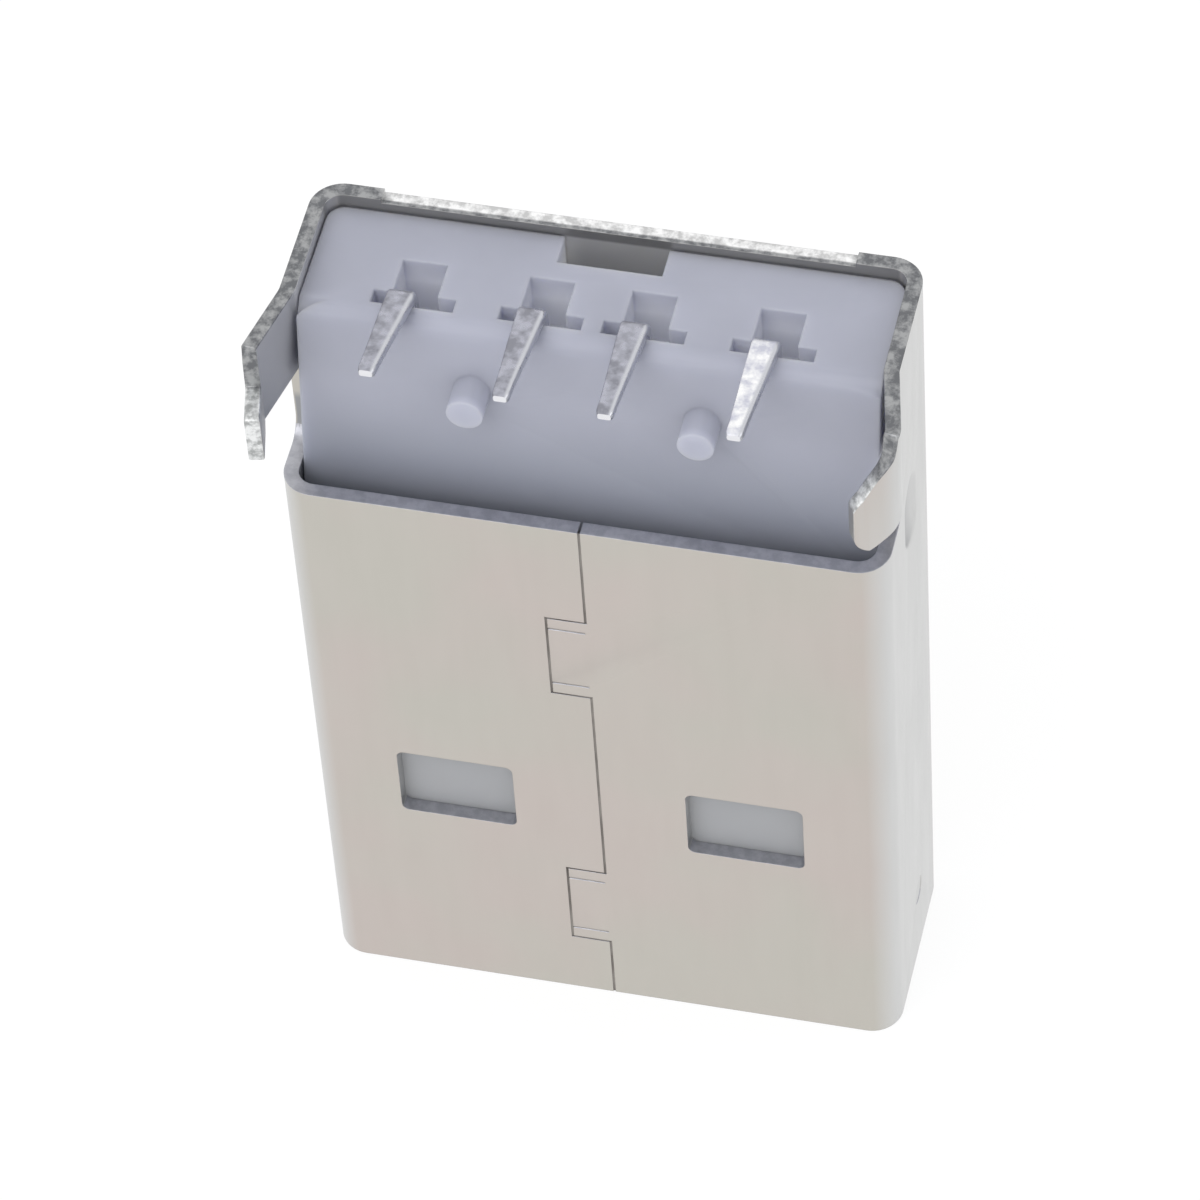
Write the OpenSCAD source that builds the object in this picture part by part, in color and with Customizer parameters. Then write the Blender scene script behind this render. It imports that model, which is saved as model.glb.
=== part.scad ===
// Board-mount USB-A plug, standing on its mouth with the solder end up.
// Units are millimetres. Z rises from the mouth rim to the solder end,
// X runs across the width, Y runs from the seam wall (-Y) to the plain wall (+Y).
// Origin: centre of the mouth rim.

/* [Shell] */
// Outside width across the two side walls
shell_width = 12.0; // [11.8:0.05:12.2]
// Outside depth from the seam wall to the plain wall
shell_depth = 4.5; // [4.4:0.05:4.6]
// Length from the mouth to the rear rim
shell_length = 18.75; // [18.6:0.05:19.2]
// Length of the shorter wall that carries the seam
seam_wall_length = 14.7; // [14.3:0.05:14.9]
// Thickness of the steel sheet
sheet = 0.3; // [0.26:0.01:0.32]
// Outside radius of the four folded corners
corner_radius = 0.65; // [0.5:0.05:0.8]
// How far the middle of the rear rim sits below its corners
rim_drop = 0.09; // [0.02:0.01:0.2]
// Width of the lowered middle of the rear rim
rim_drop_width = 9.3; // [8:0.1:10]

/* [Windows] */
// Width of each latch window
window_width = 2.4; // [2.2:0.05:2.6]
// Height of each latch window
window_height = 1.86; // [1.7:0.02:2]
// Height of the window sill above the mouth
window_base = 5.18; // [5:0.02:5.3]
// Distance between the window centres on one wall
window_spacing = 5.96; // [5.6:0.02:6.4]
// Corner radius of the windows
window_radius = 0.16; // [0.08:0.02:0.3]

/* [Seam] */
// Gap left between the two butting edges of the sheet
seam_gap = 0.05; // [0.04:0.01:0.08]
// How far each interlocking tab reaches across the seam
tab_reach = 0.8; // [0.6:0.05:1]
// Height of each interlocking tab
tab_height = 2.3; // [2:0.05:2.5]
// Height of the foot of the lower tab above the mouth
lower_tab_base = 1.72; // [1.4:0.05:2]
// Height of the foot of the upper tab above the mouth
upper_tab_base = 9.7; // [9.4:0.05:10]
// Distance of the staking crease from the tab edge
crease_inset = 0.32; // [0.24:0.02:0.4]
// Depth of the staking crease
crease_depth = 0.05; // [0.03:0.01:0.1]

/* [Legs] */
// Height of the leg where it leaves the side wall
leg_height = 2.05; // [1.9:0.05:2.3]
// Distance of the outward bend in front of the shell centre plane
leg_bend_y = 0.6; // [0.5:0.05:0.7]
// Outward angle of the legs
leg_flare = 12.4; // [8:0.2:14]
// Length of the flared part of each leg
leg_length = 1.8; // [1.6:0.05:2]
// Step down from the rear rim to the top of the leg tip
tip_drop = 1.05; // [0.9:0.05:1.2]
// Height of the leg tip
tip_height = 1.15; // [1:0.05:1.2]
// Length of the leg tip
tip_length = 0.92; // [0.6:0.02:1]
// Inward angle of the left leg tip
left_tip_turn = 13; // [5:1:45]
// Inward angle of the right leg tip
right_tip_turn = 30; // [5:1:45]

/* [Side notches] */
// Radius at the foot of the notch
notch_radius = 0.45; // [0.3:0.05:0.6]

/* [Side dimples] */
// Radius of the press tool that forms the side dimples
dimple_radius = 1.25; // [1:0.05:1.5]
// Depth of the side dimples
dimple_depth = 0.12; // [0.06:0.02:0.16]
// Height of the side dimple centres above the mouth
dimple_z = 13.95; // [13.6:0.05:14.1]
// Distance between the two round ends of a side dimple
dimple_run = 0.8; // [0.4:0.1:1]
// Distance of the side dimples behind the centre plane
dimple_y = 0.12; // [0:0.02:0.2]
// Height of the press marks near the mouth
mouth_mark_z = 1.9; // [1.6:0.1:2.4]
// Width of the press marks near the mouth
mouth_mark_size = 0.6; // [0.4:0.05:0.8]
// Depth of the press marks near the mouth
mouth_mark_depth = 0.06; // [0.04:0.01:0.1]

/* [Insulator] */
// Clearance between the insulator and the shell walls
wall_clearance = 0.03; // [0.02:0.01:0.06]
// How far the rear face sits below the rear rim
rear_inset = 0.3; // [0.2:0.02:0.4]
// Distance of the rear ledge edge in front of the centre plane
ledge_y = 0.78; // [0.7:0.02:0.9]
// Outward slope of the exposed face below the ledge
face_slope = 9.6; // [6:0.2:10]
// Depth of the pocket behind the end of the seam wall
pocket_depth = 1.4; // [1.1:0.1:1.8]
// Height of the cavity floor above the mouth
cavity_floor = 11.75; // [11.4:0.05:12]
// Distance of the contact face of the tongue from the centre plane
tongue_y = 0.11; // [0.05:0.01:0.15]
// Gap from the mouth to the front of the tongue
tongue_inset = 0.4; // [0.2:0.05:0.8]
// Width of the keying notch in the rear face
key_width = 2.06; // [1.8:0.02:2.3]
// Depth of the keying notch from the plain wall
key_depth = 0.68; // [0.5:0.02:0.8]
// Length of the keying notch along the plug
key_length = 2.2; // [1.5:0.1:3]
// Diameter of the two board pegs
peg_diameter = 0.72; // [0.6:0.02:0.8]
// Distance of the board pegs below the rear rim
peg_drop = 1.75; // [1.55:0.05:1.95]
// Distance of the peg ends in front of the centre plane
peg_reach = 1.66; // [1.4:0.02:1.9]

/* [Contacts] */
// Distance from the middle of the plug to the inner contacts
inner_contact_x = 1.0; // [0.95:0.01:1.05]
// Distance from the middle of the plug to the outer contacts
outer_contact_x = 3.5; // [3.45:0.01:3.55]
// Width of the contact blades on the tongue
blade_width = 1.0; // [0.9:0.02:1.1]
// Thickness of the contact strip
strip = 0.25; // [0.2:0.01:0.3]
// How far the blades stand proud of the tongue
blade_proud = 0.03; // [0:0.01:0.06]
// Clearance of the contacts in their grooves and slots
contact_clearance = 0.02; // [0.01:0.01:0.04]
// Front end of the outer blades above the mouth
outer_blade_front = 1.6; // [1.4:0.05:2]
// Front end of the inner blades above the mouth
inner_blade_front = 2.6; // [2.4:0.05:3]
// Width of the barbed shoulders
barb_width = 1.5; // [1.4:0.02:1.56]
// Length of the barbed shoulders
barb_length = 1.6; // [1.2:0.1:2]
// Depth of the shoulders below the rear face
barb_sink = 0.5; // [0.4:0.05:0.7]
// Tail width where it leaves the bend
tail_root_width = 0.54; // [0.48:0.02:0.6]
// Tail width at the tip
tail_tip_width = 0.4; // [0.34:0.02:0.46]
// Reach of the tail tips in front of the centre plane
tail_reach = 2.72; // [2.5:0.02:2.9]
// Gap between the tails and the rear face
tail_lift = 0.06; // [0.04:0.01:0.1]
// Inside radius of the tail bend
tail_bend = 0.1; // [0.08:0.01:0.14]

/* [Slots] */
// Width of the assembly slots behind the tails
slot_width = 0.88; // [0.8:0.02:0.94]
// Distance of the slot ends behind the centre plane
slot_y = 0.78; // [0.7:0.02:0.84]
// Depth of the assembly slots
slot_depth = 1.3; // [1:0.1:1.6]
// Width of the shoulder slots beside the tails
wing_width = 1.62; // [1.58:0.02:1.7]

/* [Hidden] */
$fn = 48;
eps = 0.01;
half_w = shell_width / 2;
half_d = shell_depth / 2;
inner_w = shell_width - 2 * sheet;
inner_d = shell_depth - 2 * sheet;
body_w = inner_w - 2 * wall_clearance;
body_near = -inner_d / 2;
body_far = inner_d / 2 - wall_clearance;
rear_z = shell_length - rear_inset;
peg_z = shell_length - peg_drop;
pocket_floor = seam_wall_length - pocket_depth;
leg_foot = shell_length - leg_height;
tip_top = shell_length - tip_drop;
strip_far = -tongue_y + blade_proud;
strip_near = strip_far - strip;
tail_under = rear_z + tail_lift;
barb_top = rear_z - barb_sink;
contact_x = [-outer_contact_x, -inner_contact_x, inner_contact_x, outer_contact_x];
blade_front = [outer_blade_front, inner_blade_front, inner_blade_front, outer_blade_front];
tail_shift = [-0.2, -0.15, -0.15, -0.12];
tail_lean = [0.08, 0.04, 0.04, 0.1];
tail_rise = [9, 5, 3, 1];

// Flat outline with four round corners.
module rounded(w, d, r) {
  square([w - 2 * r, d], center = true);
  square([w, d - 2 * r], center = true);
  for (sx = [-1, 1], sy = [-1, 1])
    translate([sx * (w / 2 - r), sy * (d / 2 - r)]) circle(r = r);
}

// Straight box given by its low and high corners.
module box(x0, x1, y0, y1, z0, z1) {
  translate([x0, y0, z0]) cube([x1 - x0, y1 - y0, z1 - z0]);
}

// Flat outline drawn in X and Z, given depth from y0 to y1.
module facing(y0, y1) {
  translate([0, y1, 0]) rotate([90, 0, 0]) linear_extrude(height = y1 - y0) children();
}

// Flat outline drawn in Y and Z, given width from x0 to x1.
module sideways(x0, x1) {
  translate([x0, 0, 0]) rotate([90, 0, 90]) linear_extrude(height = x1 - x0) children();
}

// ---- shell -------------------------------------------------------------

// Folded tube before anything is cut from it.
module folded_tube() {
  linear_extrude(height = shell_length)
    difference() {
      rounded(shell_width, shell_depth, corner_radius);
      rounded(inner_w, inner_d, corner_radius - sheet);
    }
}

// Outline of the opening above the seam wall, seen from the side.
module rear_opening() {
  difference() {
    translate([-half_d - 1, seam_wall_length])
      square([half_d + 1 - leg_bend_y, shell_length - seam_wall_length + 1]);
    translate([-leg_bend_y - notch_radius, seam_wall_length - eps])
      difference() {
        square([notch_radius + eps, notch_radius + eps]);
        translate([0, notch_radius + eps]) circle(r = notch_radius);
      }
  }
}

module window_outline() {
  for (sx = [-1, 1])
    translate([sx * window_spacing / 2, window_base + window_height / 2])
      rounded(window_width, window_height, window_radius);
}

// Line of the butt joint with its two interlocking tabs.
module seam_line() {
  g = seam_gap / 2;
  lower_top = lower_tab_base + tab_height;
  upper_top = upper_tab_base + tab_height;
  translate([-g, -1]) square([2 * g, lower_tab_base + g + 1]);
  translate([-g, lower_top - g]) square([2 * g, upper_tab_base - lower_top + 2 * g]);
  translate([-g, upper_top - g]) square([2 * g, seam_wall_length - upper_top + 1]);
  for (z = [lower_tab_base, upper_tab_base]) {
    translate([-tab_reach - g, z - g]) square([2 * g, tab_height + 2 * g]);
    for (dz = [0, tab_height])
      translate([-tab_reach - g, z + dz - g]) square([tab_reach + 2 * g, 2 * g]);
  }
}

// Staking creases along the upper and lower edge of each tab.
module creases() {
  g = seam_gap / 2;
  for (z = [lower_tab_base, upper_tab_base])
    for (dz = [crease_inset, tab_height - crease_inset])
      translate([-tab_reach + g, z + dz - g]) square([tab_reach - 2 * g, 2 * g]);
}

// Round-ended press tool, its axis upright beside the side wall.
module dimple_tool(side, r) {
  translate([side * (half_w + dimple_radius - dimple_depth), dimple_y, dimple_z]) {
    translate([0, 0, -dimple_run / 2]) cylinder(r = r, h = dimple_run);
    for (dz = [-dimple_run / 2, dimple_run / 2]) translate([0, 0, dz]) sphere(r = r);
  }
}

// Raised back of one side dimple, inside the shell.
module dimple_back(side) {
  x = side * (half_w - sheet / 2 - dimple_depth);
  reach = sheet / 2 + dimple_depth;
  intersection() {
    dimple_tool(side, dimple_radius + sheet);
    translate([x, dimple_y, dimple_z])
      cube([2 * reach - sheet / 2, 2 * dimple_radius, 4 * dimple_radius], center = true);
  }
}

// Short press mark near the mouth, on the outside of a side wall.
module mouth_mark(side) {
  translate([side * half_w, dimple_y, mouth_mark_z])
    rotate([0, side * 90, 0])
      translate([0, 0, -mouth_mark_depth])
        cylinder(r1 = mouth_mark_size / 2, r2 = mouth_mark_size / 2 + 0.1, h = 0.5);
}

// One leg: flared strip, round bends and the narrower tip.
module leg(side, turn) {
  run = leg_length - sheet / 2;
  mid = half_w - sheet / 2;
  mirror([side > 0 ? 0 : 1, 0, 0])
    translate([mid, -leg_bend_y, 0])
      rotate([0, 0, leg_flare]) {
        translate([0, 0, leg_foot]) linear_extrude(height = leg_height) {
          circle(d = sheet);
          translate([-sheet / 2, -leg_length]) square([sheet, leg_length]);
        }
        translate([0, -run, tip_top - tip_height])
          rotate([0, 0, -leg_flare - turn]) linear_extrude(height = tip_height) {
            circle(d = sheet);
            translate([-sheet / 2, -tip_length]) square([sheet, tip_length]);
          }
      }
}

module shell() {
  color([0.77, 0.76, 0.74])
    difference() {
      union() {
        difference() {
          folded_tube();
          sideways(-half_w - 1, half_w + 1) rear_opening();
          facing(-half_d - 1, half_d + 1) window_outline();
        }
        for (side = [-1, 1]) dimple_back(side);
        leg(-1, left_tip_turn);
        leg(1, right_tip_turn);
      }
      facing(-half_d - 1, 0) seam_line();
      facing(-half_d - 1, -half_d + crease_depth) creases();
      for (side = [-1, 1]) {
        dimple_tool(side, dimple_radius);
        mouth_mark(side);
      }
      box(-rim_drop_width / 2, rim_drop_width / 2, 0, half_d + 1,
        shell_length - rim_drop, shell_length + 1);
    }
}

// ---- insulator ---------------------------------------------------------

// Side outline of the rear block, drawn in Y and Z.
module block_outline() {
  drop = rear_z - pocket_floor;
  polygon([[body_far, cavity_floor], [body_far, rear_z], [-ledge_y, rear_z],
    [-ledge_y - drop * tan(face_slope), pocket_floor], [body_near, pocket_floor],
    [body_near, cavity_floor]]);
}

module insulator_body() {
  intersection() {
    linear_extrude(height = rear_z) translate([0, (body_near + body_far) / 2])
      rounded(body_w, body_far - body_near, corner_radius - sheet);
    union() {
      sideways(-half_w, half_w) block_outline();
      sideways(-half_w, half_w)
        polygon([[body_near, tongue_inset + 0.25], [body_near + 0.25, tongue_inset],
          [-tongue_y - 0.2, tongue_inset], [-tongue_y, tongue_inset + 0.2],
          [-tongue_y, cavity_floor + eps], [body_near, cavity_floor + eps]]);
    }
  }
}

// Space taken out of the insulator for one contact.
module contact_space(i) {
  c = contact_clearance;
  x = contact_x[i];
  groove = blade_width / 2 + c;
  wing = barb_width / 2 + c;
  // groove in the tongue and passage through the block
  box(x - groove, x + groove, strip_near, -tongue_y + 1,
    blade_front[i] - c, cavity_floor);
  box(x - groove, x + groove, strip_near, strip_far + c,
    cavity_floor - eps, barb_top - barb_length);
  // shoulder pocket and its opening in the rear face
  box(x - wing, x + wing, strip_near, strip_far + c,
    barb_top - barb_length - c, barb_top + eps);
  facing(strip_near - 0.06, strip_far + c)
    translate([x - wing_width / 2, barb_top]) square([wing_width, barb_sink + 1]);
  // assembly slot that opens toward the plain wall
  box(x - slot_width / 2, x + slot_width / 2, strip_far, slot_y,
    rear_z - slot_depth, rear_z + 1);
}

module insulator() {
  color([0.86, 0.87, 0.9])
    difference() {
      union() {
        insulator_body();
        for (sx = [-1, 1])
          translate([sx * (inner_contact_x + outer_contact_x) / 2, -ledge_y, peg_z])
            rotate([90, 0, 0]) cylinder(d = peg_diameter, h = peg_reach - ledge_y);
      }
      for (i = [0 : 3]) contact_space(i);
      box(-key_width / 2, key_width / 2, body_far - key_depth, half_d,
        rear_z - key_length, rear_z + 1);
      for (side = [-1, 1]) dimple_tool(side, dimple_radius + sheet + wall_clearance);
    }
}

// ---- contacts ----------------------------------------------------------

// Blade with a rounded nose, barbed shoulders and neck, drawn in X and Z.
module strip_outline(front) {
  b = blade_width / 2;
  w = barb_width / 2;
  t = tail_root_width / 2;
  foot = barb_top - barb_length;
  polygon([[-b + 0.2, front], [b - 0.2, front], [b, front + 0.3], [b, foot],
    [w, foot + 0.15], [w - 0.06, foot + 0.5], [w, foot + 0.65], [w - 0.06, foot + 1],
    [w - 0.06, barb_top - 0.1], [w - 0.16, barb_top], [-w + 0.16, barb_top],
    [-w + 0.06, barb_top - 0.1], [-w + 0.06, foot + 1], [-w, foot + 0.65],
    [-w + 0.06, foot + 0.5], [-w, foot + 0.15], [-b, foot], [-b, front + 0.3]]);
}

// One contact: flat blade, barbed shoulders, neck, bend and tapered tail.
module contact(i) {
  t = tail_root_width / 2;
  e = tail_tip_width / 2;
  shift = tail_shift[i];
  lean = tail_lean[i];
  rise = tail_rise[i];
  bend_y = strip_near - tail_bend;
  bend_z = tail_under - tail_bend;
  run = tail_reach + bend_y;
  color([0.83, 0.8, 0.74])
    translate([contact_x[i], 0, 0]) {
      facing(strip_near, strip_far) strip_outline(blade_front[i]);
      box(shift - t, shift + t, strip_near, strip_far, barb_top - eps, bend_z);
      translate([0, bend_y, bend_z]) {
        sideways(shift - t, shift + t) bend_outline(90 - rise);
        rotate([-rise, 0, 0])
          translate([shift, 0, tail_bend]) linear_extrude(height = strip)
            polygon([[-t, 0], [t, 0], [e - lean, -run], [-e - lean, -run]]);
      }
    }
}

// Bent part between neck and tail, drawn in Y and Z.
module bend_outline(turn) {
  intersection() {
    difference() {
      circle(r = tail_bend + strip);
      circle(r = tail_bend);
    }
    polygon([[0, 0], [2, 0], [2, 2], [2 * cos(turn), 2 * sin(turn)]]);
  }
}

shell();
insulator();
contact(0);  // outer_contact_left
contact(1);  // inner_contact_left
contact(2);  // inner_contact_right
contact(3);  // outer_contact_right
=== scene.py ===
"""Board-mount type A plug: finishes, detailed pieces, stage and camera.

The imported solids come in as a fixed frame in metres. Every operator below dresses
one piece or group of pieces; the last one sets up the stage.
"""
from math import cos, radians, sin

import bmesh
import bpy
import numpy as np
from bpy.props import FloatProperty, FloatVectorProperty, PointerProperty
from mathutils import Matrix, Vector


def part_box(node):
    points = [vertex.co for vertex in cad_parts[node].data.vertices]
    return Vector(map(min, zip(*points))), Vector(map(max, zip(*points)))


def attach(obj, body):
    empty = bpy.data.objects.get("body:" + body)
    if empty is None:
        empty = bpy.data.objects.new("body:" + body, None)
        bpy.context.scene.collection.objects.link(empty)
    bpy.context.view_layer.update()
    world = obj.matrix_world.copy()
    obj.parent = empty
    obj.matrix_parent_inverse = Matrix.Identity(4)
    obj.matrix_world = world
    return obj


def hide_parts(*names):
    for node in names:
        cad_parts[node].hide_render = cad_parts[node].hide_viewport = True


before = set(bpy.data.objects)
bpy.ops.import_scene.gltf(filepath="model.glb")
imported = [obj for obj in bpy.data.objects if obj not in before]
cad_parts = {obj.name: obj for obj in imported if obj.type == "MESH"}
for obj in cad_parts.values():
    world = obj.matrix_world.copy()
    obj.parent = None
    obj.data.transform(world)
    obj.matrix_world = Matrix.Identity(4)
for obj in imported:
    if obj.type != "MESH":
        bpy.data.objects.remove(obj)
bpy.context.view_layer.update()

bl_info = {
    "name": "Board-mount plug dresser",
    "version": (1, 0, 0),
    "blender": (4, 5, 0),
    "location": "3D View > Sidebar > Plug",
    "description": "Dresses a board-mount plug and sets up its stage",
    "category": "Object",
}

MM = 0.001
BODY_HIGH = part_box("insulator")[1]

# Sizes of the folded sheet and the moulding, in millimetres.
SHEET = 0.3
HALF_WIDTH = 6.0
HALF_DEPTH = 2.25
REAR_RIM = 18.75
LEG_BEND_Y = 0.6
LEG_FOOT = 16.7
LEG_FLARE = radians(12.4)
LEDGE_Y = 0.78
TAB_REACH = 0.8
TAB_HEIGHT = 2.3
TAB_BASES = (1.72, 9.7)
SEAM_END = 14.68
PRESS_MARK = (0.12, 1.9)
PRESS_RADIUS = 0.447

# Each contact: its node, the middle of its blade, the blade's front, the sideways
# shift and lean of its tail in millimetres, and the rise of the tail in degrees.
CONTACTS = (("outer_contact_left", -3.5, 1.6, -0.2, 0.08, 9),
            ("inner_contact_left", -1.0, 2.6, -0.15, 0.04, 5),
            ("inner_contact_right", 1.0, 2.6, -0.15, 0.04, 3),
            ("outer_contact_right", 3.5, 1.6, -0.12, 0.1, 1))


# ---- settings ----------------------------------------------------------------

class PlugShellSettings(bpy.types.PropertyGroup):
    """Finish of the folded shell."""
    plating: FloatVectorProperty(
        name="Plating", description="Colour of the satin plating", subtype="COLOR",
        size=3, min=0, max=1, default=(0.545, 0.51, 0.475))
    gloss: FloatProperty(
        name="Roughness", description="Roughness of the plating", subtype="FACTOR",
        min=0, max=1, default=0.36)
    edge: FloatProperty(
        name="Edge rounding", description="Rounding along the cut edges of the sheet",
        unit="LENGTH", precision=6, min=0, max=0.0001, default=0.00003)


class PlugInsulatorSettings(bpy.types.PropertyGroup):
    """Finish of the moulded insulator."""
    plastic: FloatVectorProperty(
        name="Plastic", description="Colour of the moulding", subtype="COLOR",
        size=3, min=0, max=1, default=(0.42, 0.43, 0.505))
    shade: FloatVectorProperty(
        name="Shade", description="Colour deep in the gap beside the seam wall",
        subtype="COLOR", size=3, min=0, max=1, default=(0.30, 0.315, 0.375))
    gloss: FloatProperty(
        name="Roughness", description="Roughness of the moulding", subtype="FACTOR",
        min=0, max=1, default=0.42)
    edge: FloatProperty(
        name="Edge rounding", description="Rounding along the moulded edges",
        unit="LENGTH", precision=6, min=0, max=0.0003, default=0.00008)
    ledge: FloatProperty(
        name="Ledge rounding", description="Rounding of the ledge in the rear face",
        unit="LENGTH", precision=6, min=0, max=0.00034, default=0.0003)


class PlugContactSettings(bpy.types.PropertyGroup):
    """Finish of the four contacts."""
    tin: FloatVectorProperty(
        name="Plating", description="Colour of the tinned contacts", subtype="COLOR",
        size=3, min=0, max=1, default=(0.395, 0.40, 0.455))
    gloss: FloatProperty(
        name="Roughness", description="Roughness of the tin", subtype="FACTOR",
        min=0, max=1, default=0.3)


class PlugStageSettings(bpy.types.PropertyGroup):
    """Floor, lamps and camera."""
    floor: FloatVectorProperty(
        name="Floor", description="Colour of the floor", subtype="COLOR",
        size=3, min=0, max=1, default=(0.92, 0.92, 0.92))
    azimuth: FloatProperty(
        name="Azimuth", description="Camera direction round the plug", subtype="ANGLE",
        default=radians(16.27))
    elevation: FloatProperty(
        name="Elevation", description="Camera height angle", subtype="ANGLE",
        default=radians(50.01))
    roll: FloatProperty(
        name="Roll", description="Camera turn about its own axis", subtype="ANGLE",
        default=radians(-4.38))
    distance: FloatProperty(
        name="Distance", description="Camera distance from its aim", unit="LENGTH",
        precision=5, min=0.01, default=0.13412)
    lens: FloatProperty(
        name="Lens", description="Focal length in millimetres", min=10, max=500,
        default=201.49)


# ---- node helpers --------------------------------------------------------------

class Finish:
    """A material under construction, with short ways to add and join nodes."""

    def __init__(self, name):
        self.material = bpy.data.materials.new(name)
        self.material.use_nodes = True
        self.tree = self.material.node_tree
        self.tree.nodes.clear()
        self.output = self.add("ShaderNodeOutputMaterial")
        self.shader = self.add("ShaderNodeBsdfPrincipled")
        self.join(self.shader, 0, self.output, 0)
        self.place = self.add("ShaderNodeTexCoord")

    def add(self, kind, **values):
        node = self.tree.nodes.new(kind)
        for key, value in values.items():
            setattr(node, key, value)
        return node

    def join(self, source, out, target, into):
        self.tree.links.new(source.outputs[out], target.inputs[into])

    def set(self, node, **values):
        for key, value in values.items():
            node.inputs[key.replace("_", " ")].default_value = value
        return node

    def coordinates(self, stretch=(1, 1, 1)):
        """Object coordinates, stretched along each axis."""
        mapping = self.add("ShaderNodeMapping")
        self.join(self.place, "Object", mapping, "Vector")
        mapping.inputs["Scale"].default_value = stretch
        return mapping

    def noise(self, scale, detail=2.0, stretch=(1, 1, 1), roughness=0.5):
        node = self.add("ShaderNodeTexNoise")
        self.join(self.coordinates(stretch), 0, node, "Vector")
        return self.set(node, Scale=scale, Detail=detail, Roughness=roughness)

    def spread(self, source, low, high, to_low=0.0, to_high=1.0, out=0):
        """Maps low..high to to_low..to_high, held at the ends."""
        node = self.add("ShaderNodeMapRange")
        self.join(source, out, node, "Value")
        return self.set(node, From_Min=low, From_Max=high, To_Min=to_low, To_Max=to_high)

    def blend(self, factor, first, second, mode="MIX"):
        """Mixes two colours, each a constant or the first output of a node."""
        node = self.add("ShaderNodeMix", data_type="RGBA", blend_type=mode)
        if isinstance(factor, (int, float)):
            node.inputs[0].default_value = factor
        else:
            self.join(factor, 0, node, 0)
        for socket, value in ((6, first), (7, second)):
            if isinstance(value, (tuple, list)):
                node.inputs[socket].default_value = (*value[:3], 1)
            else:
                out = 2 if value.bl_idname == "ShaderNodeMix" else 0
                self.tree.links.new(value.outputs[out], node.inputs[socket])
        return node

    def colour(self, node):
        out = 2 if node.bl_idname == "ShaderNodeMix" else 0
        self.join(node, out, self.shader, "Base Color")

    def reach(self, axis):
        """Object coordinate along one axis."""
        node = self.add("ShaderNodeSeparateXYZ")
        self.join(self.place, "Object", node, 0)
        return node, "XYZ".index(axis)

    def facing(self, axis):
        """How squarely the surface faces along one object axis, either way."""
        node = self.add("ShaderNodeSeparateXYZ")
        self.join(self.place, "Normal", node, 0)
        size = self.add("ShaderNodeMath", operation="ABSOLUTE")
        self.join(node, "XYZ".index(axis), size, 0)
        return size, 0

    def product(self, first, second):
        node = self.add("ShaderNodeMath", operation="MULTIPLY")
        self.join(first, 0, node, 0)
        self.join(second, 0, node, 1)
        return node

    def bump(self, height, strength, distance, under=None, out=0):
        node = self.add("ShaderNodeBump")
        self.join(height, out, node, "Height")
        self.set(node, Strength=strength, Distance=distance)
        if under is not None:
            self.join(under, 0, node, "Normal")
        return node

    def soft_edge(self, radius, samples=6):
        node = self.add("ShaderNodeBevel", samples=samples)
        return self.set(node, Radius=radius)


def scaled(colour, factor):
    return tuple(min(1.0, channel * factor) for channel in colour)


# ---- finishes -------------------------------------------------------------------

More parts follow.
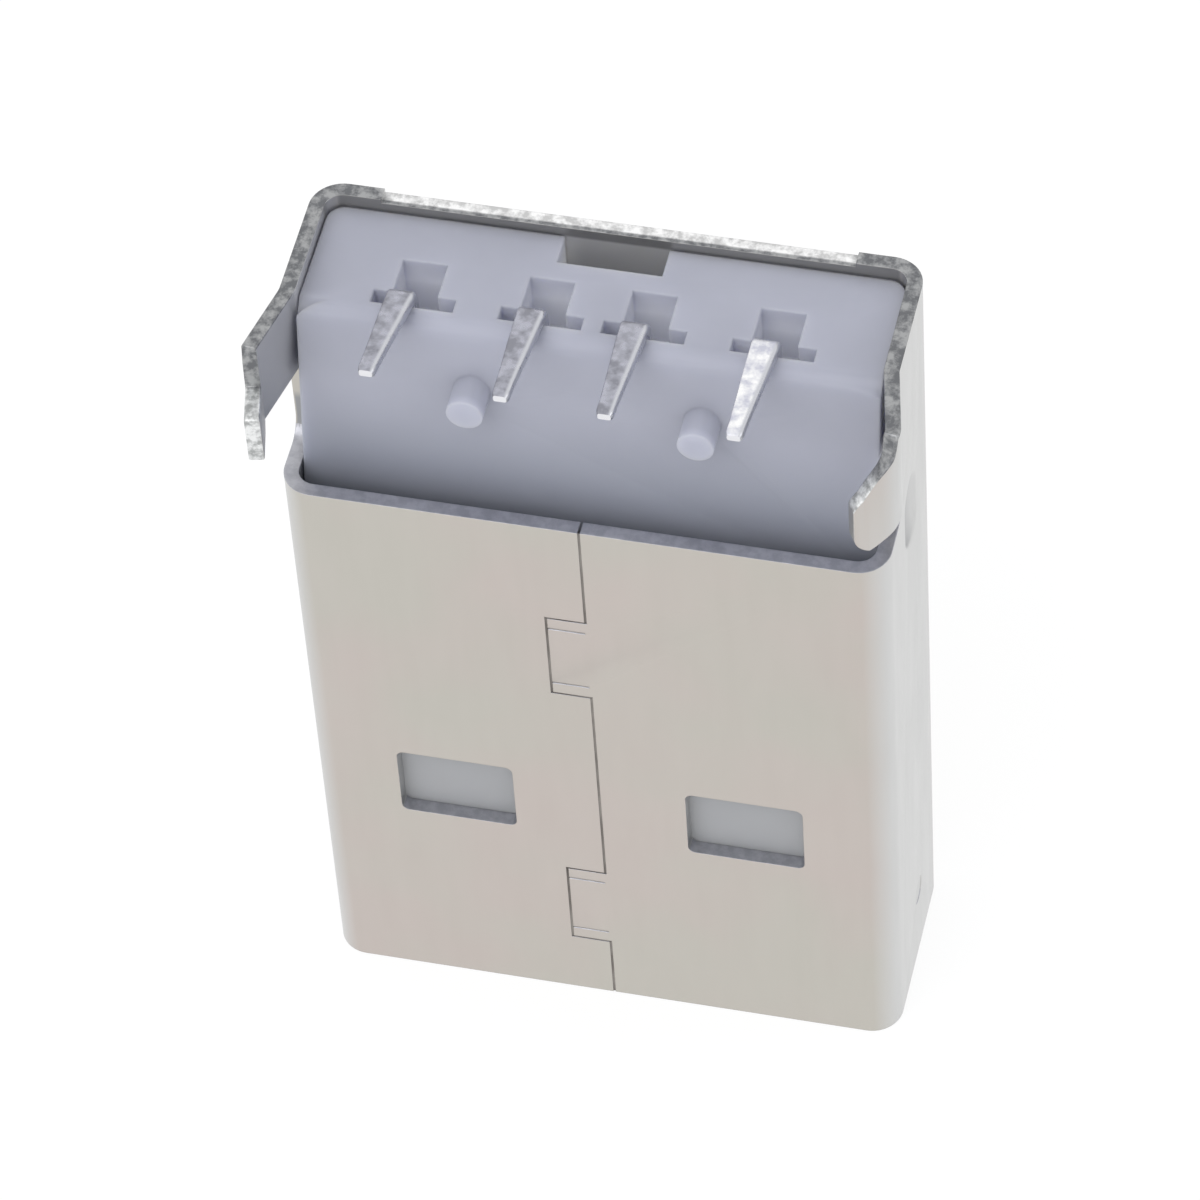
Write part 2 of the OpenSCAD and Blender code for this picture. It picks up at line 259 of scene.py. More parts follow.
def satin_plating(settings):
    """Nickel plating, warm and faintly drifting; painted reflection makes the side walls paler
    and cooler, and painted shade darkens the side dimples, the tab creases and the far wall's
    inner face above the plastic.
    """
    f = Finish("satin_plating")
    base = tuple(settings.plating)
    pink = (base[0] * 1.02, base[1] * 0.985, base[2] * 0.99)
    green = (base[0] * 0.98, base[1] * 1.01, base[2] * 0.985)
    drift = f.spread(f.noise(230, 2), 0.38, 0.62)
    tone = f.blend(drift, pink, green)
    haze = f.spread(f.noise(520, 3), 0.3, 0.7, 0.0, 0.3)
    tone = f.blend(haze, tone, scaled(base, 1.04))
    # Painted reflection: faces turned along X, the side walls, are paler and cooler.
    side, index = f.facing("X")
    side_wall_reflection = f.spread(side, 0.25, 0.9, 0.0, 1.0, index)
    tone = f.blend(side_wall_reflection, tone, (base[0] * 1.12, base[1] * 1.2, base[2] * 1.28))
    place, index = f.reach("X")
    wide = f.add("ShaderNodeMath", operation="ABSOLUTE")
    f.join(place, index, wide, 0)
    # Painted shade: the recessed faces of the side dimples are darkened, most towards -Y.
    dimple_shade = f.product(f.spread(wide, 5.965 * MM, 5.99 * MM, 1.0, 0.0),
                        f.spread(wide, 5.8 * MM, 5.82 * MM, 0.0, 1.0))
    flat = f.add("ShaderNodeMath", operation="ABSOLUTE")
    f.join(place, 1, flat, 0)
    dimple_shade = f.product(dimple_shade, f.spread(flat, 1.2 * MM, 1.4 * MM, 1.0, 0.0))
    dimple_shade = f.product(dimple_shade, f.spread(place, -0.25 * MM, 0.45 * MM, 1.0, 0.1, 1))
    dimple_shade = f.product(dimple_shade, f.spread(place, 15.6 * MM, 15.8 * MM, 1.0, 0.0, 2))
    tone = f.blend(dimple_shade, tone, (0.33, 0.335, 0.345))
    # Painted shade: the floors and walls of the tab creases in the seam wall are dark
    # brown-grey.
    crease_shade = f.product(f.spread(place, -2.246 * MM, -2.243 * MM, 0.0, 1.0, 1),
                       f.spread(place, -2.215 * MM, -2.21 * MM, 1.0, 0.0, 1))
    crease_shade = f.product(crease_shade, f.spread(wide, 0.9 * MM, 0.95 * MM, 1.0, 0.0))
    tone = f.blend(crease_shade, tone, (0.30, 0.275, 0.25))
    # On the far wall's inner face: pale below Z 18.40, and painted shade, dark grey, in the band
    # above the plastic.
    inner = f.product(f.spread(place, 1.9 * MM, 1.93 * MM, 0.0, 1.0, 1),
                      f.spread(place, 1.96 * MM, 1.99 * MM, 1.0, 0.0, 1))
    rim = f.spread(place, 18.40 * MM, 18.46 * MM, 0.0, 1.0, 2)
    f.colour(f.blend(inner, tone, f.blend(rim, (0.80, 0.79, 0.75), (0.36, 0.355, 0.34))))
    f.set(f.shader, Metallic=1.0)
    grain = f.noise(2600, 2, (1, 1, 0.16))
    rough = f.spread(grain, 0.3, 0.7, settings.gloss - 0.03, settings.gloss + 0.05)
    f.join(rough, 0, f.shader, "Roughness")
    edge = f.soft_edge(0.03 * MM)
    waves = f.bump(f.noise(330, 1), 0.08, 0.02 * MM, edge)
    f.join(f.bump(grain, 0.08, 0.003 * MM, waves), 0, f.shader, "Normal")
    return f.material


def sheared_edge(settings):
    """Cut edge of the sheet: speckled, with a painted highlight along the middle of the rear rim
    and at the leg tips, and a painted dim bluish reflection on the edges low down.
    """
    f = Finish("sheared_edge")
    base = tuple(settings.plating)
    spots = f.spread(f.noise(4600, 3, (1, 1, 1), 0.65), 0.40, 0.62)
    grey = f.blend(spots, (0.17, 0.175, 0.185), (0.40, 0.405, 0.41))
    highlit = f.blend(spots, (0.60, 0.60, 0.60), (0.98, 0.98, 0.98))
    place, index = f.reach("X")
    wide = f.add("ShaderNodeMath", operation="ABSOLUTE")
    f.join(place, index, wide, 0)
    # Painted highlight: bright speckle along the middle of the rear rim, on its outer part.
    middle = f.spread(wide, 4.5 * MM, 4.75 * MM, 1.0, 0.0)
    back = f.spread(place, 2.02 * MM, 2.06 * MM, 0.0, 1.0, 1)
    both = f.product(middle, back)
    tone = f.blend(both, grey, highlit)
    # Painted reflection: the cut edges low down, such as the near rim, take a dim bluish tone
    # like the shaded plastic.
    low = f.spread(place, 15.0 * MM, 15.4 * MM, 1.0, 0.0, 2)
    dim_reflection = f.blend(spots, (0.42, 0.425, 0.465), (0.52, 0.525, 0.565))
    tone = f.blend(low, tone, dim_reflection)
    # Painted highlight: the cut edges at the outer ends of the legs are brighter.
    tip = f.product(f.spread(place, -2.35 * MM, -2.25 * MM, 1.0, 0.0, 1),
                    f.spread(place, 17.9 * MM, 17.75 * MM, 0.0, 1.0, 2))
    f.colour(f.blend(tip, tone, f.blend(spots, (0.40, 0.41, 0.41), (0.85, 0.86, 0.86))))
    f.set(f.shader, Metallic=1.0, Roughness=0.38)
    edge = f.soft_edge(0.03 * MM)
    f.join(f.bump(f.noise(3600, 3), 0.35, 0.012 * MM, edge), 0, f.shader, "Normal")
    return f.material


def seam_metal_and_shade(settings):
    """The butted edges down in the seam, with painted shade: near black where they gap and
    dimmed plating where they touch here and there.
    """
    f = Finish("seam_metal_and_shade")
    # Painted shade in the seam gap, with the dimmed plating of the edges where they touch.
    touch_and_gap_shade = f.spread(f.noise(700, 3), 0.36, 0.64)
    f.colour(f.blend(touch_and_gap_shade, (0.13, 0.115, 0.105), scaled(tuple(settings.plating), 0.66)))
    f.set(f.shader, Metallic=1.0, Roughness=0.5)
    f.join(f.bump(f.noise(3000, 2), 0.3, 0.01 * MM), 0, f.shader, "Normal")
    return f.material


def milky_plastic(settings):
    """Slightly translucent moulding, with painted shade down in the gap beside the seam wall and
    painted light in the slots and on the peg ends.
    """
    f = Finish("milky_plastic")
    base = tuple(settings.plastic)
    clouds = f.spread(f.noise(420, 3), 0.35, 0.65)
    tone = f.blend(clouds, scaled(base, 0.97), scaled(base, 1.04))
    place, index = f.reach("Z")
    # Painted shade: darker down in the gap beside the seam wall, from Z 17.1 down to 14.7.
    low = f.spread(place, 14.7 * MM, 17.1 * MM, 1.0, 0.0, index)
    low.interpolation_type = "SMOOTHSTEP"
    above = f.spread(place, 13.0 * MM, 13.4 * MM, 0.0, 1.0, index)
    tone = f.blend(f.product(low, above), tone, tuple(settings.shade))
    # Painted light: the faces deep inside the slots are pale.
    inside = f.spread(place, -0.72 * MM, -0.6 * MM, 0.0, 1.0, 1)
    deep = f.spread(place, 17.9 * MM, 18.43 * MM, 1.0, 0.0, index)
    recess_light = f.product(f.product(inside, deep), f.spread(place, 15.0 * MM, 15.5 * MM,
                                                       0.0, 1.0, index))
    tone = f.blend(recess_light, tone, (0.80, 0.81, 0.87))
    tongue = f.spread(place, 10.5 * MM, 11.5 * MM, 1.0, 0.0, index)
    tone = f.blend(tongue, tone, (0.385, 0.39, 0.405))
    # Painted light: the ends of the pegs stand out pale from the shaded gap.
    lit_peg_ends = f.product(f.spread(place, -1.6 * MM, -1.45 * MM, 1.0, 0.0, 1),
                    f.spread(place, 16.3 * MM, 16.5 * MM, 0.0, 1.0, index))
    f.colour(f.blend(lit_peg_ends, tone, scaled(base, 1.1)))
    f.set(f.shader, Roughness=settings.gloss, IOR=1.49, Subsurface_Weight=0.6,
          Subsurface_Scale=0.0007)
    f.shader.inputs["Subsurface Radius"].default_value = (1.0, 1.0, 1.1)
    edge = f.soft_edge(settings.edge)
    skin = f.bump(f.noise(2400, 2), 0.10, 0.005 * MM, edge)
    f.join(skin, 0, f.shader, "Normal")
    return f.material


def mottled_tin(settings, name, highlight_gain):
    """Tin plating with a crystalline mottle; painted reflection makes the faces towards +X and
    the faces along Y, such as the tail tips, paler, and a gain above 1 paints a highlight over
    the whole strip.
    """
    f = Finish(name)
    base = tuple(settings.tin)
    mottle = f.spread(f.noise(3400, 3, (1, 1, 1), 0.6), 0.38, 0.62)
    # A gain above 1 paints a highlight over the whole contact.
    tone = f.blend(mottle, scaled(base, 0.72 * highlight_gain), scaled(base, 1.2 * highlight_gain))
    # Painted reflection: faces turned towards +X are paler.
    side = f.add("ShaderNodeSeparateXYZ")
    f.join(f.place, "Normal", side, 0)
    flank_reflection = f.spread(side, 0.15, 0.45)
    # Painted highlight: faces turned along Y, such as the tail tips, are pale.
    front, index = f.facing("Y")
    end = f.spread(front, 0.5, 0.85, 0.0, 1.0, index)
    tone = f.blend(flank_reflection, tone, (0.60, 0.61, 0.65))
    f.colour(f.blend(end, tone, (0.8, 0.8, 0.83)))
    f.set(f.shader, Metallic=1.0)
    rough = f.spread(mottle, 0.0, 1.0, settings.gloss + 0.08, settings.gloss - 0.04)
    f.join(rough, 0, f.shader, "Roughness")
    f.join(f.bump(f.noise(2500, 2), 0.45, 0.015 * MM), 0, f.shader, "Normal")
    return f.material


def dress(obj, *materials):
    """Puts materials into an object's slots, in order."""
    obj.data.materials.clear()
    for material in materials:
        obj.data.materials.append(material)


def shade_smooth(obj, angle=30):
    """Smooth shading across edges flatter than the angle."""
    obj.data.shade_smooth()
    obj.data.set_sharp_from_angle(angle=radians(angle))


# ---- shapes ---------------------------------------------------------------------

def strip_mesh(name, centre, across, through, half_width, half_depth, corner, roll=None,
               open_start=False):
    """A flat strip carried along a path.

    At each of n stations the section is a rectangle with quarter-round corners,
    centre + across * x + through * y, where x runs to +-half_width and y to
    +-half_depth. The first corner may have a wider radius of its own. Faces join
    equal points of neighbouring stations, and flat caps close the ends.
    """
    n, steps = len(centre), 5
    turn = np.linspace(0, np.pi / 2, steps)
    angle = np.concatenate([turn + quarter * np.pi / 2 for quarter in range(4)])
    sx = np.repeat([1, -1, -1, 1], steps)
    sy = np.repeat([1, 1, -1, -1], steps)
    corner = np.repeat(np.broadcast_to(corner, n)[:, None], 4 * steps, axis=1)
    if roll is not None:
        corner[:, :steps] = roll[:, None]
    x = sx * (half_width[:, None] - corner) + corner * np.cos(angle)
    y = sy * (half_depth[:, None] - corner) + corner * np.sin(angle)
    points = (centre[:, None] + across[:, None] * x[..., None] + through[:, None] * y[..., None])
    m = len(angle)
    here = (np.arange(n - 1)[:, None] * m + np.arange(m)).ravel()
    there = (np.arange(n - 1)[:, None] * m + (np.arange(m) + 1) % m).ravel()
    quads = np.stack([here, there, there + m, here + m], -1).tolist()
    if not open_start:
        quads.append(list(range(m))[::-1])
    quads.append(list(range((n - 1) * m, n * m)))
    mesh = bpy.data.meshes.new(name)
    mesh.from_pydata(points.reshape(-1, 3).tolist(), [], quads)
    work = bmesh.new()
    work.from_mesh(mesh)
    bmesh.ops.remove_doubles(work, verts=work.verts, dist=1e-7)
    bmesh.ops.recalc_face_normals(work, faces=work.faces)
    work.to_mesh(mesh)
    work.free()
    return mesh


def smooth_step(value, low, high):
    """0 below low, 1 above high, and 3t^2 - 2t^3 between."""
    t = np.clip((value - low) / (high - low), 0, 1)
    return t * t * (3 - 2 * t)


def leg_mesh(side, length, turn, bend, top_edge, foot_edge, round_off):
    """One leg of the shell: a strip whose direction is worked out along its length.

    It leaves the side wall, leans outward by the flare angle, then turns inward to
    the tip angle along a smooth step. Its top and bottom edges run straight between
    a few heights and are rounded off at the tip by circle arcs.
    """
    s = np.concatenate([np.linspace(0, 1.2, 21), np.linspace(1.22, length - 0.3, 34),
                        length - 0.28 * (1 - np.linspace(0, 1, 22)) ** 1.6])
    angle = LEG_FLARE * smooth_step(s, 0, 0.06) - (LEG_FLARE + turn) * smooth_step(s, *bend)
    step = np.diff(s, prepend=0)
    x = HALF_WIDTH - SHEET / 2 + np.cumsum(np.sin(angle) * step)
    y = -LEG_BEND_Y - np.cumsum(np.cos(angle) * step)
    top = np.interp(s, *zip(*top_edge))
    foot = np.interp(s, *zip(*foot_edge))
    over = np.clip(s - (length - round_off), 0, round_off)
    trim = round_off - np.sqrt(np.maximum(round_off ** 2 - over ** 2, 0))
    top, foot = top - 0.6 * trim, foot + trim
    centre = np.stack([side * x, y, (top + foot) / 2], -1) * MM
    across = np.tile([0.0, 0.0, 1.0], (len(s), 1))
    through = np.stack([side * np.cos(angle), np.sin(angle), 0 * s], -1)
    corner = 0.04 * MM * smooth_step(s, 0, 0.1)
    thick = np.full(len(s), SHEET / 2)
    thick[-3:] -= np.array([0.008, 0.025, 0.06])
    return strip_mesh("leg", centre, across, through, (top - foot) / 2 * MM, thick * MM,
                      corner, open_start=True)


def seam_mesh():
    """The butted edges just under the seam, which carry the painted shade of the seam gap: short
    flat strips end to end.

    Each strip is straight from one corner of the seam line to the next, a little
    below the face of the seam wall.
    """
    line = [(0.0, 0.02)]
    for base in TAB_BASES:
        top = base + TAB_HEIGHT
        line += [(0.0, base), (-TAB_REACH, base), (-TAB_REACH, top), (0.0, top)]
    line = np.array(line + [(0.0, SEAM_END)])
    work = bmesh.new()
    for first, last in zip(line[:-1], line[1:]):
        along = (last - first) / np.linalg.norm(last - first)
        flat = first + (last - first) * np.linspace(0, 1, 12)[:, None]
        centre = np.stack([flat[:, 0], 0 * flat[:, 0] - HALF_DEPTH + 0.028,
                           flat[:, 1]], -1) * MM
        across = np.tile([along[1], 0.0, -along[0]], (12, 1))
        through = np.tile([0.0, -1.0, 0.0], (12, 1))
        strip = strip_mesh("seam", centre, across, through, np.full(12, 0.026 * MM),
                           np.full(12, 0.018 * MM), 0.006 * MM)
        work.from_mesh(strip)
        bpy.data.meshes.remove(strip)
    mesh = bpy.data.meshes.new("seam_edges_and_shade")
    work.to_mesh(mesh)
    work.free()
    return mesh


def contact_mesh(x, front, shift, lean, rise):
    """One contact: a strip that rises through the moulding, bends and ends in a tail.

    The path is a straight line up, a quarter circle shortened by the rise angle and
    a straight line out. Half the width is a sum of smooth steps of the length: blade,
    barbed shoulders, neck, and a tail that narrows to its tip.
    """
    mid, thick, inside = -0.205, 0.125, 0.1
    radius = inside + thick
    bend_z, foot, top = 18.41, 16.35, 17.95
    up = np.concatenate([front + np.array([0, 0.01, 0.03, 0.07, 0.13, 0.2, 0.3]),
                         np.linspace(front + 0.4, foot - 0.1, 12),
                         np.linspace(foot - 0.05, bend_z, 60)])
    bow = np.linspace(0, np.pi / 2 - radians(rise), 10)[1:]
    out = np.linspace(0, 2.29, 46)[1:]
    rise = radians(rise)
    y = np.concatenate([up * 0 + mid, mid - radius + radius * np.cos(bow)])
    z = np.concatenate([up, bend_z + radius * np.sin(bow)])
    y = np.concatenate([y, y[-1] - out * np.cos(rise)])
    z = np.concatenate([z, z[-1] + out * np.sin(rise)])
    angle = np.concatenate([up * 0, bow, out * 0 + bow[-1]])
    along = np.concatenate([up - top, 0.46 + radius * bow, 0.46 + radius * bow[-1] + out])
    half = 0.5 - 0.3 * (1 - smooth_step(up, front - 0.1, front + 0.3))
    half = half + 0.25 * smooth_step(up, foot - 0.02, foot + 0.1)
    half = half - 0.05 * smooth_step(up, foot + 0.4, foot + 0.5)
    half = half + 0.05 * smooth_step(up, foot + 0.55, foot + 0.65)
    half = half - 0.05 * smooth_step(up, foot + 0.9, foot + 1.0)
    half = half - 0.43 * smooth_step(up, top - 0.1, top + 0.04)
    tail = np.concatenate([bow * 0 + 0.27, 0.27 - 0.105 * smooth_step(out, -0.3, 2.35)])
    tail[-3:] -= np.array([0.0, 0.01, 0.035])
    half = np.concatenate([half, tail])
    depth = np.full(len(y), thick)
    depth[len(up) + len(bow):] -= 0.02 * smooth_step(out, 0.5, 2.29)
    depth[-2:] -= np.array([0.01, 0.035])
    slide = shift * smooth_step(along, -0.1, 0.05) - lean * np.concatenate(
        [up * 0, bow * 0, out / 2.29])
    centre = np.stack([x + slide, y, z], -1) * MM
    across = np.tile([1.0, 0.0, 0.0], (len(y), 1))
    through = np.stack([0 * y, np.cos(angle), np.sin(angle)], -1)
    corner = np.minimum(0.045, depth * 0.6)
    roll = corner + np.minimum(0.09, depth - corner) * smooth_step(along, 0.3, 0.9)
    return strip_mesh("contact", centre, across, through, half * MM, depth * MM,
                      corner * MM, np.minimum(roll, 0.9 * half) * MM)


def merged_copy(node, name, remove=None):
    """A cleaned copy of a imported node: doubles merged and flat faces rejoined."""
    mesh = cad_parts[node].data.copy()
    mesh.name = name
    work = bmesh.new()
    work.from_mesh(mesh)
    bmesh.ops.remove_doubles(work, verts=work.verts, dist=2e-7)
    if remove:
        gone = [face for face in work.faces if remove(face.calc_center_median())]
        bmesh.ops.delete(work, geom=gone, context="FACES")
    bmesh.ops.dissolve_limit(work, angle_limit=radians(0.6), verts=work.verts,
                             edges=work.edges)
    return mesh, work


def add_piece(context, name, mesh, node):
    """Links a piece that stands for a node and rides on the root body."""
    piece = bpy.data.objects.new(name, mesh)
    context.collection.objects.link(piece)
    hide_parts(node)
    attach(piece, "root")
    return piece


def round_edges(piece, width, segments, limit="ANGLE"):
    bevel = piece.modifiers.new("rounded edges", "BEVEL")
    bevel.width = width
    bevel.segments = segments
    bevel.limit_method = limit
    bevel.angle_limit = radians(40)
    bevel.harden_normals = True


# ---- pieces ---------------------------------------------------------------------

class PLUG_OT_shell(bpy.types.Operator):
    """Dresses the folded shell, with rounded cut edges"""
    bl_idname = "plug.shell"
    bl_label = "Shell"

    def execute(self, context):
        settings = context.scene.plug_shell
        mesh, work = merged_copy("shell", "folded_shell", lambda p: (
            p.y < -(LEG_BEND_Y + 0.001) * MM and p.z > (LEG_FOOT - 0.2) * MM))
        legs = [leg_mesh(-1, 2.56, radians(13), (1.60, 1.70),
                         ((0, REAR_RIM), (1.65, REAR_RIM), (1.68, 17.7), (2.6, 17.7)),
                         ((0, LEG_FOOT), (1.65, LEG_FOOT), (1.9, 16.55), (2.6, 16.5)), 0.1),
                leg_mesh(1, 2.5, radians(58), (1.35, 2.0),
                         ((0, REAR_RIM), (1.6, REAR_RIM), (1.7, 18.3), (2.3, 17.5),
                          (2.8, 17.3)),
                         ((0, LEG_FOOT), (1.2, 16.65), (2.2, 15.9), (2.8, 15.9)), 0.5)]
        for leg in legs:
            work.from_mesh(leg)
            bpy.data.meshes.remove(leg)
        bmesh.ops.remove_doubles(work, verts=work.verts, dist=4e-6)
        work.to_mesh(mesh)
        work.free()
        points = np.empty(len(mesh.vertices) * 3, np.float32)
        mesh.vertices.foreach_get("co", points)
        points = points.reshape(-1, 3)
        side = np.abs(points[:, 0])
        off = np.hypot(points[:, 1] - PRESS_MARK[0] * MM, points[:, 2] - PRESS_MARK[1] * MM)
        marked = (side > (HALF_WIDTH - 0.1) * MM) & (side < (HALF_WIDTH - 0.02) * MM) & (
            off < PRESS_RADIUS * MM)
        points[marked, 0] = np.sign(points[marked, 0]) * (HALF_WIDTH - 0.014) * MM
        creased = (np.abs(points[:, 1] + (HALF_DEPTH - 0.05) * MM) < 0.002 * MM) & (
            points[:, 0] > -(TAB_REACH + 0.05) * MM) & (points[:, 0] < 0.05 * MM)
        points[creased, 1] = -(HALF_DEPTH - 0.024) * MM
        mesh.vertices.foreach_set("co", points.ravel())
        mesh.update()
        piece = add_piece(context, "folded_shell", mesh, "shell")
        dress(piece, satin_plating(settings), sheared_edge(settings))
        count = len(mesh.polygons)
        normals = np.empty(count * 3, np.float32)
        mesh.polygons.foreach_get("normal", normals)
        normals = normals.reshape(-1, 3)
        centres = np.empty(count * 3, np.float32)
        mesh.polygons.foreach_get("center", centres)
        centres = centres.reshape(-1, 3)
        front = (normals[:, 1] < -0.8) & (centres[:, 1] < -1.2 * MM) & (
            centres[:, 0] < -5.4 * MM) & (centres[:, 2] > 15.5 * MM)
        sloped = (normals[:, 2] > 0.12) & (centres[:, 1] < -0.7 * MM) & (
            centres[:, 2] > 15.5 * MM)
        cut = (np.abs(normals[:, 2]) > 0.55) | front | sloped
        mesh.polygons.foreach_set("material_index", cut.astype(np.int32))
        round_edges(piece, settings.edge, 2)
        shade_smooth(piece, 50)
        # The butted edges carry the painted shade of the seam gap.
        seam = add_piece(context, "seam_edges_and_shade", seam_mesh(), "shell")
        dress(seam, seam_metal_and_shade(settings))
        return {"FINISHED"}


class PLUG_OT_insulator(bpy.types.Operator):
    """Dresses the moulded insulator, with soft moulded edges"""
    bl_idname = "plug.insulator"
    bl_label = "Insulator"

    def execute(self, context):
        settings = context.scene.plug_insulator
        mesh, work = merged_copy("insulator", "moulded_insulator")
        work.to_mesh(mesh)
        work.free()
        piece = add_piece(context, "moulded_insulator", mesh, "insulator")
        ends = np.empty(len(mesh.edges) * 2, np.int32)
        mesh.edges.foreach_get("vertices", ends)
        points = np.empty(len(mesh.vertices) * 3, np.float32)
        mesh.vertices.foreach_get("co", points)
        points = points.reshape(-1, 3)[ends.reshape(-1, 2)]
        ledge = (np.abs(points[:, :, 1] + LEDGE_Y * MM) < 0.005 * MM).all(1) & (
            np.abs(points[:, :, 2] - BODY_HIGH.z) < 0.005 * MM).all(1)
        if not ledge.any():
            raise RuntimeError("the ledge of the insulator wasn't found")
        weight = mesh.attributes.new("bevel_weight_edge", "FLOAT", "EDGE")
        weight.data.foreach_set("value", ledge.astype(np.float32))
        round_edges(piece, settings.ledge, 6, "WEIGHT")
        round_edges(piece, settings.edge / 2, 2)
        dress(piece, milky_plastic(settings))
        shade_smooth(piece, 50)
        return {"FINISHED"}


class PLUG_OT_contacts(bpy.types.Operator):
    """Makes the four contacts from blade to tail"""
    bl_idname = "plug.contacts"
    bl_label = "Contacts"

    def execute(self, context):
        settings = context.scene.plug_contacts
        tin = mottled_tin(settings, "mottled_tin", 1.0)
        # The fourth contact gets a painted highlight all over.
        highlit = mottled_tin(settings, "highlit_tin", 2.15)
        for name, *way in CONTACTS:
            mesh = contact_mesh(*way)
            piece = add_piece(context, name.replace("contact", "strip"), mesh, name)
            dress(piece, highlit if name == CONTACTS[-1][0] else tin)
            shade_smooth(piece, 40)
        return {"FINISHED"}


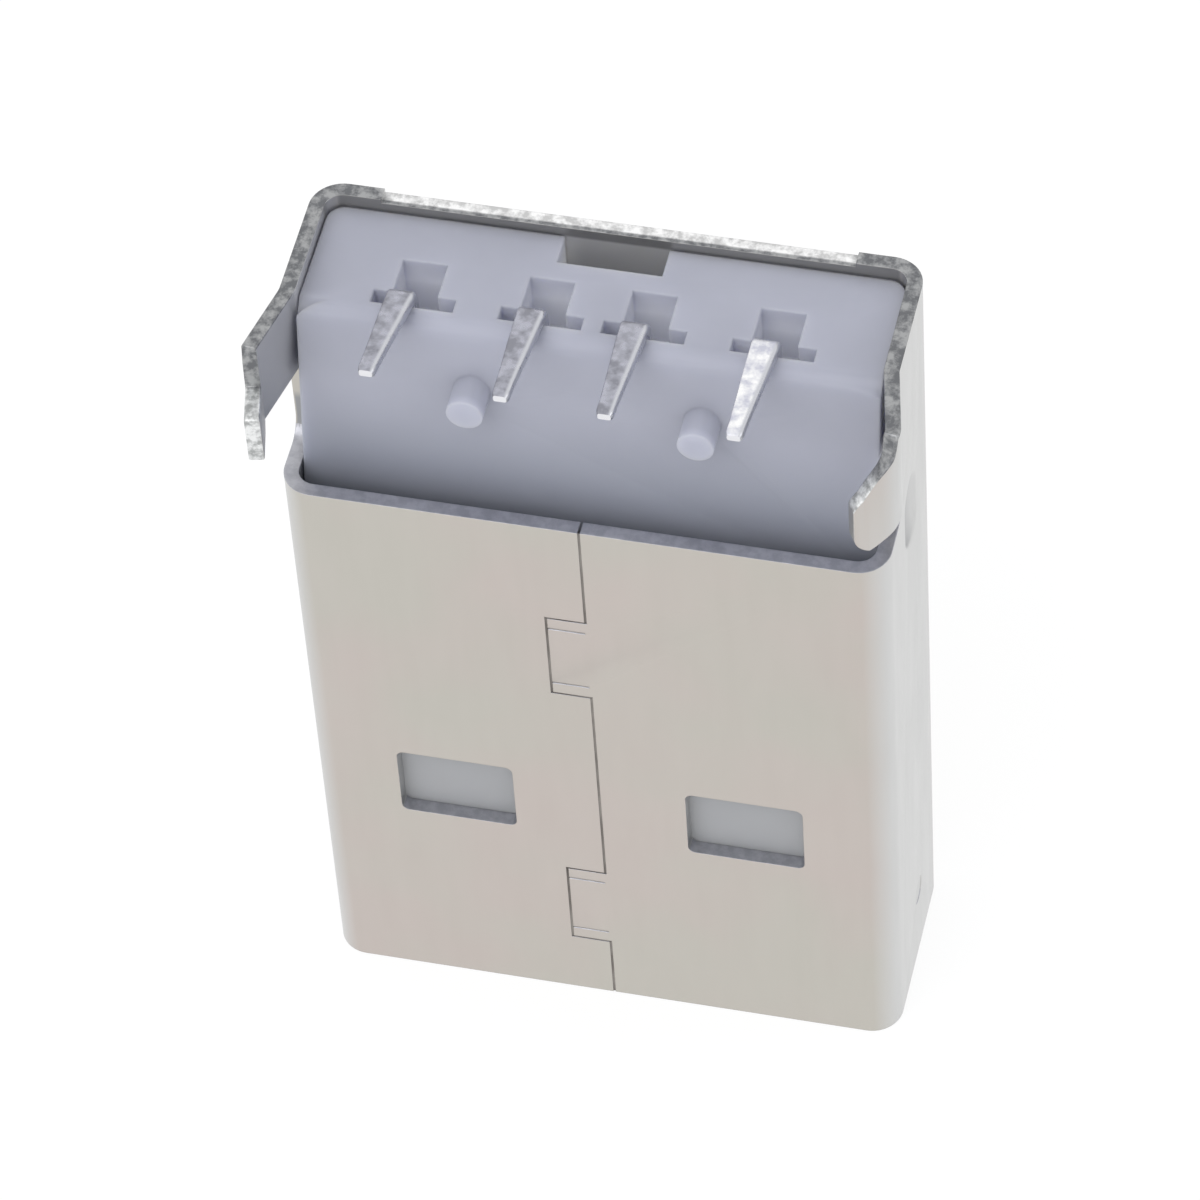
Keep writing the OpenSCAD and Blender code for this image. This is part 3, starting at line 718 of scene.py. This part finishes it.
class PLUG_OT_stage(bpy.types.Operator):
    """Sets up the floor, the lamps, the world and the camera"""
    bl_idname = "plug.stage"
    bl_label = "Stage"

    def execute(self, context):
        settings = context.scene.plug_stage
        scene = context.scene
        scene.view_settings.view_transform = "Standard"
        self.floor(context, settings)
        self.world(scene)
        self.lamp(context, "key", (-0.08, -0.16, 0.20), 0.2, 0.16)
        self.lamp(context, "side", (0.20, 0.02, 0.10), 0.12, 0.03)
        self.camera(context, settings)
        return {"FINISHED"}

    def floor(self, context, settings):
        """A flat square grid of x and y just below the mouth rim."""
        count, half, drop = 33, 0.6, 0.00002
        x, y = np.meshgrid(np.linspace(-half, half, count), np.linspace(-half, half, count))
        co = np.stack([x, y, 0 * x - drop], -1).reshape(-1, 3)
        i = np.arange((count - 1) * count).reshape(count - 1, count)[:, :-1].ravel()
        faces = np.stack([i, i + 1, i + count + 1, i + count], -1)
        mesh = bpy.data.meshes.new("floor")
        mesh.from_pydata(co.tolist(), [], faces.tolist())
        floor = bpy.data.objects.new("floor", mesh)
        context.collection.objects.link(floor)
        f = Finish("white_floor")
        f.tree.nodes.remove(f.shader)
        seen = f.add("ShaderNodeLightPath")
        one = f.add("ShaderNodeMath", operation="MAXIMUM")
        f.join(seen, "Is Camera Ray", one, 0)
        f.join(seen, "Is Glossy Ray", one, 1)
        both = f.add("ShaderNodeMath", operation="MAXIMUM")
        f.join(one, 0, both, 0)
        f.join(seen, "Is Transmission Ray", both, 1)
        plain = f.add("ShaderNodeBsdfDiffuse")
        speckle = f.spread(f.noise(900, 2), 0.3, 0.7)
        tone = f.blend(speckle, scaled(settings.floor, 0.98), scaled(settings.floor, 1.0))
        f.join(tone, 2, plain, "Color")
        shown = f.add("ShaderNodeBsdfDiffuse")
        f.set(shown, Color=(0.20, 0.20, 0.20, 1))
        white = f.add("ShaderNodeEmission")
        f.set(white, Color=(1, 1, 1, 1), Strength=0.83)
        total = f.add("ShaderNodeAddShader")
        f.join(shown, 0, total, 0)
        f.join(white, 0, total, 1)
        mix = f.add("ShaderNodeMixShader")
        f.join(both, 0, mix, 0)
        f.join(plain, 0, mix, 1)
        f.join(total, 0, mix, 2)
        f.join(mix, 0, f.output, 0)
        dress(floor, f.material)

    def world(self, scene):
        world = bpy.data.worlds.new("studio")
        scene.world = world
        world.use_nodes = True
        tree = world.node_tree
        tree.nodes.clear()
        out = tree.nodes.new("ShaderNodeOutputWorld")
        seen = tree.nodes.new("ShaderNodeLightPath")
        most = tree.nodes.new("ShaderNodeMath")
        most.operation = "MAXIMUM"
        tree.links.new(seen.outputs["Is Camera Ray"], most.inputs[0])
        tree.links.new(seen.outputs["Is Transmission Ray"], most.inputs[1])
        both = tree.nodes.new("ShaderNodeMath")
        both.operation = "MAXIMUM"
        tree.links.new(most.outputs[0], both.inputs[0])
        tree.links.new(seen.outputs["Is Glossy Ray"], both.inputs[1])
        light = tree.nodes.new("ShaderNodeBackground")
        light.inputs["Color"].default_value = (0.98, 0.99, 1.0, 1)
        light.inputs["Strength"].default_value = 0.87
        shown = tree.nodes.new("ShaderNodeBackground")
        shown.inputs["Color"].default_value = (1, 1, 1, 1)
        shown.inputs["Strength"].default_value = 1.0
        mix = tree.nodes.new("ShaderNodeMixShader")
        tree.links.new(both.outputs[0], mix.inputs[0])
        tree.links.new(light.outputs[0], mix.inputs[1])
        tree.links.new(shown.outputs[0], mix.inputs[2])
        tree.links.new(mix.outputs[0], out.inputs[0])

    def lamp(self, context, name, place, size, power):
        data = bpy.data.lights.new(name, "AREA")
        data.size = size
        data.energy = power
        lamp = bpy.data.objects.new(name, data)
        context.collection.objects.link(lamp)
        lamp.location = place
        aim = Vector((0, 0, 0.01)) - Vector(place)
        lamp.rotation_euler = aim.to_track_quat("-Z", "Y").to_euler()

    def camera(self, context, settings):
        az, el = settings.azimuth, settings.elevation
        back = np.array([sin(az) * cos(el), -cos(az) * cos(el), sin(el)])
        level = np.array([cos(az), sin(az), 0.0])
        above = np.cross(back, level)
        right = level * cos(settings.roll) + above * sin(settings.roll)
        up = np.cross(back, right)
        place = np.array([-0.40, 0.25, 9.69]) * MM + back * settings.distance
        data = bpy.data.cameras.new("view")
        data.lens = settings.lens
        data.sensor_width = 36
        data.clip_start = 0.005
        data.clip_end = 5
        camera = bpy.data.objects.new("view", data)
        context.collection.objects.link(camera)
        matrix = np.eye(4)
        matrix[:3, 0], matrix[:3, 1], matrix[:3, 2], matrix[:3, 3] = right, up, back, place
        camera.matrix_world = Matrix(matrix.tolist())
        context.scene.camera = camera


class PLUG_PT_sidebar(bpy.types.Panel):
    """Lists the plug's settings and pieces"""
    bl_idname = "PLUG_PT_sidebar"
    bl_label = "Board-mount plug"
    bl_space_type = "VIEW_3D"
    bl_region_type = "UI"
    bl_category = "Plug"

    def draw(self, context):
        for name, operator in PIECES:
            box = self.layout.box()
            group = getattr(context.scene, name)
            for key in group.bl_rna.properties.keys():
                if key not in {"rna_type", "name"}:
                    box.prop(group, key)
            box.operator(operator)


SETTINGS = (("plug_shell", PlugShellSettings), ("plug_insulator", PlugInsulatorSettings),
            ("plug_contacts", PlugContactSettings), ("plug_stage", PlugStageSettings))
PIECES = (("plug_shell", "plug.shell"), ("plug_insulator", "plug.insulator"),
          ("plug_contacts", "plug.contacts"), ("plug_stage", "plug.stage"))
CLASSES = (PLUG_OT_shell, PLUG_OT_insulator, PLUG_OT_contacts, PLUG_OT_stage,
           PLUG_PT_sidebar)


def register():
    for name, group in SETTINGS:
        bpy.utils.register_class(group)
        setattr(bpy.types.Scene, name, PointerProperty(type=group))
    for entry in CLASSES:
        bpy.utils.register_class(entry)


def unregister():
    for entry in reversed(CLASSES):
        bpy.utils.unregister_class(entry)
    for name, group in SETTINGS:
        delattr(bpy.types.Scene, name)
        bpy.utils.unregister_class(group)


def main():
    register()
    bpy.ops.plug.shell()
    bpy.ops.plug.insulator()
    bpy.ops.plug.contacts()
    bpy.ops.plug.stage()


if __name__ == "__main__":
    main()
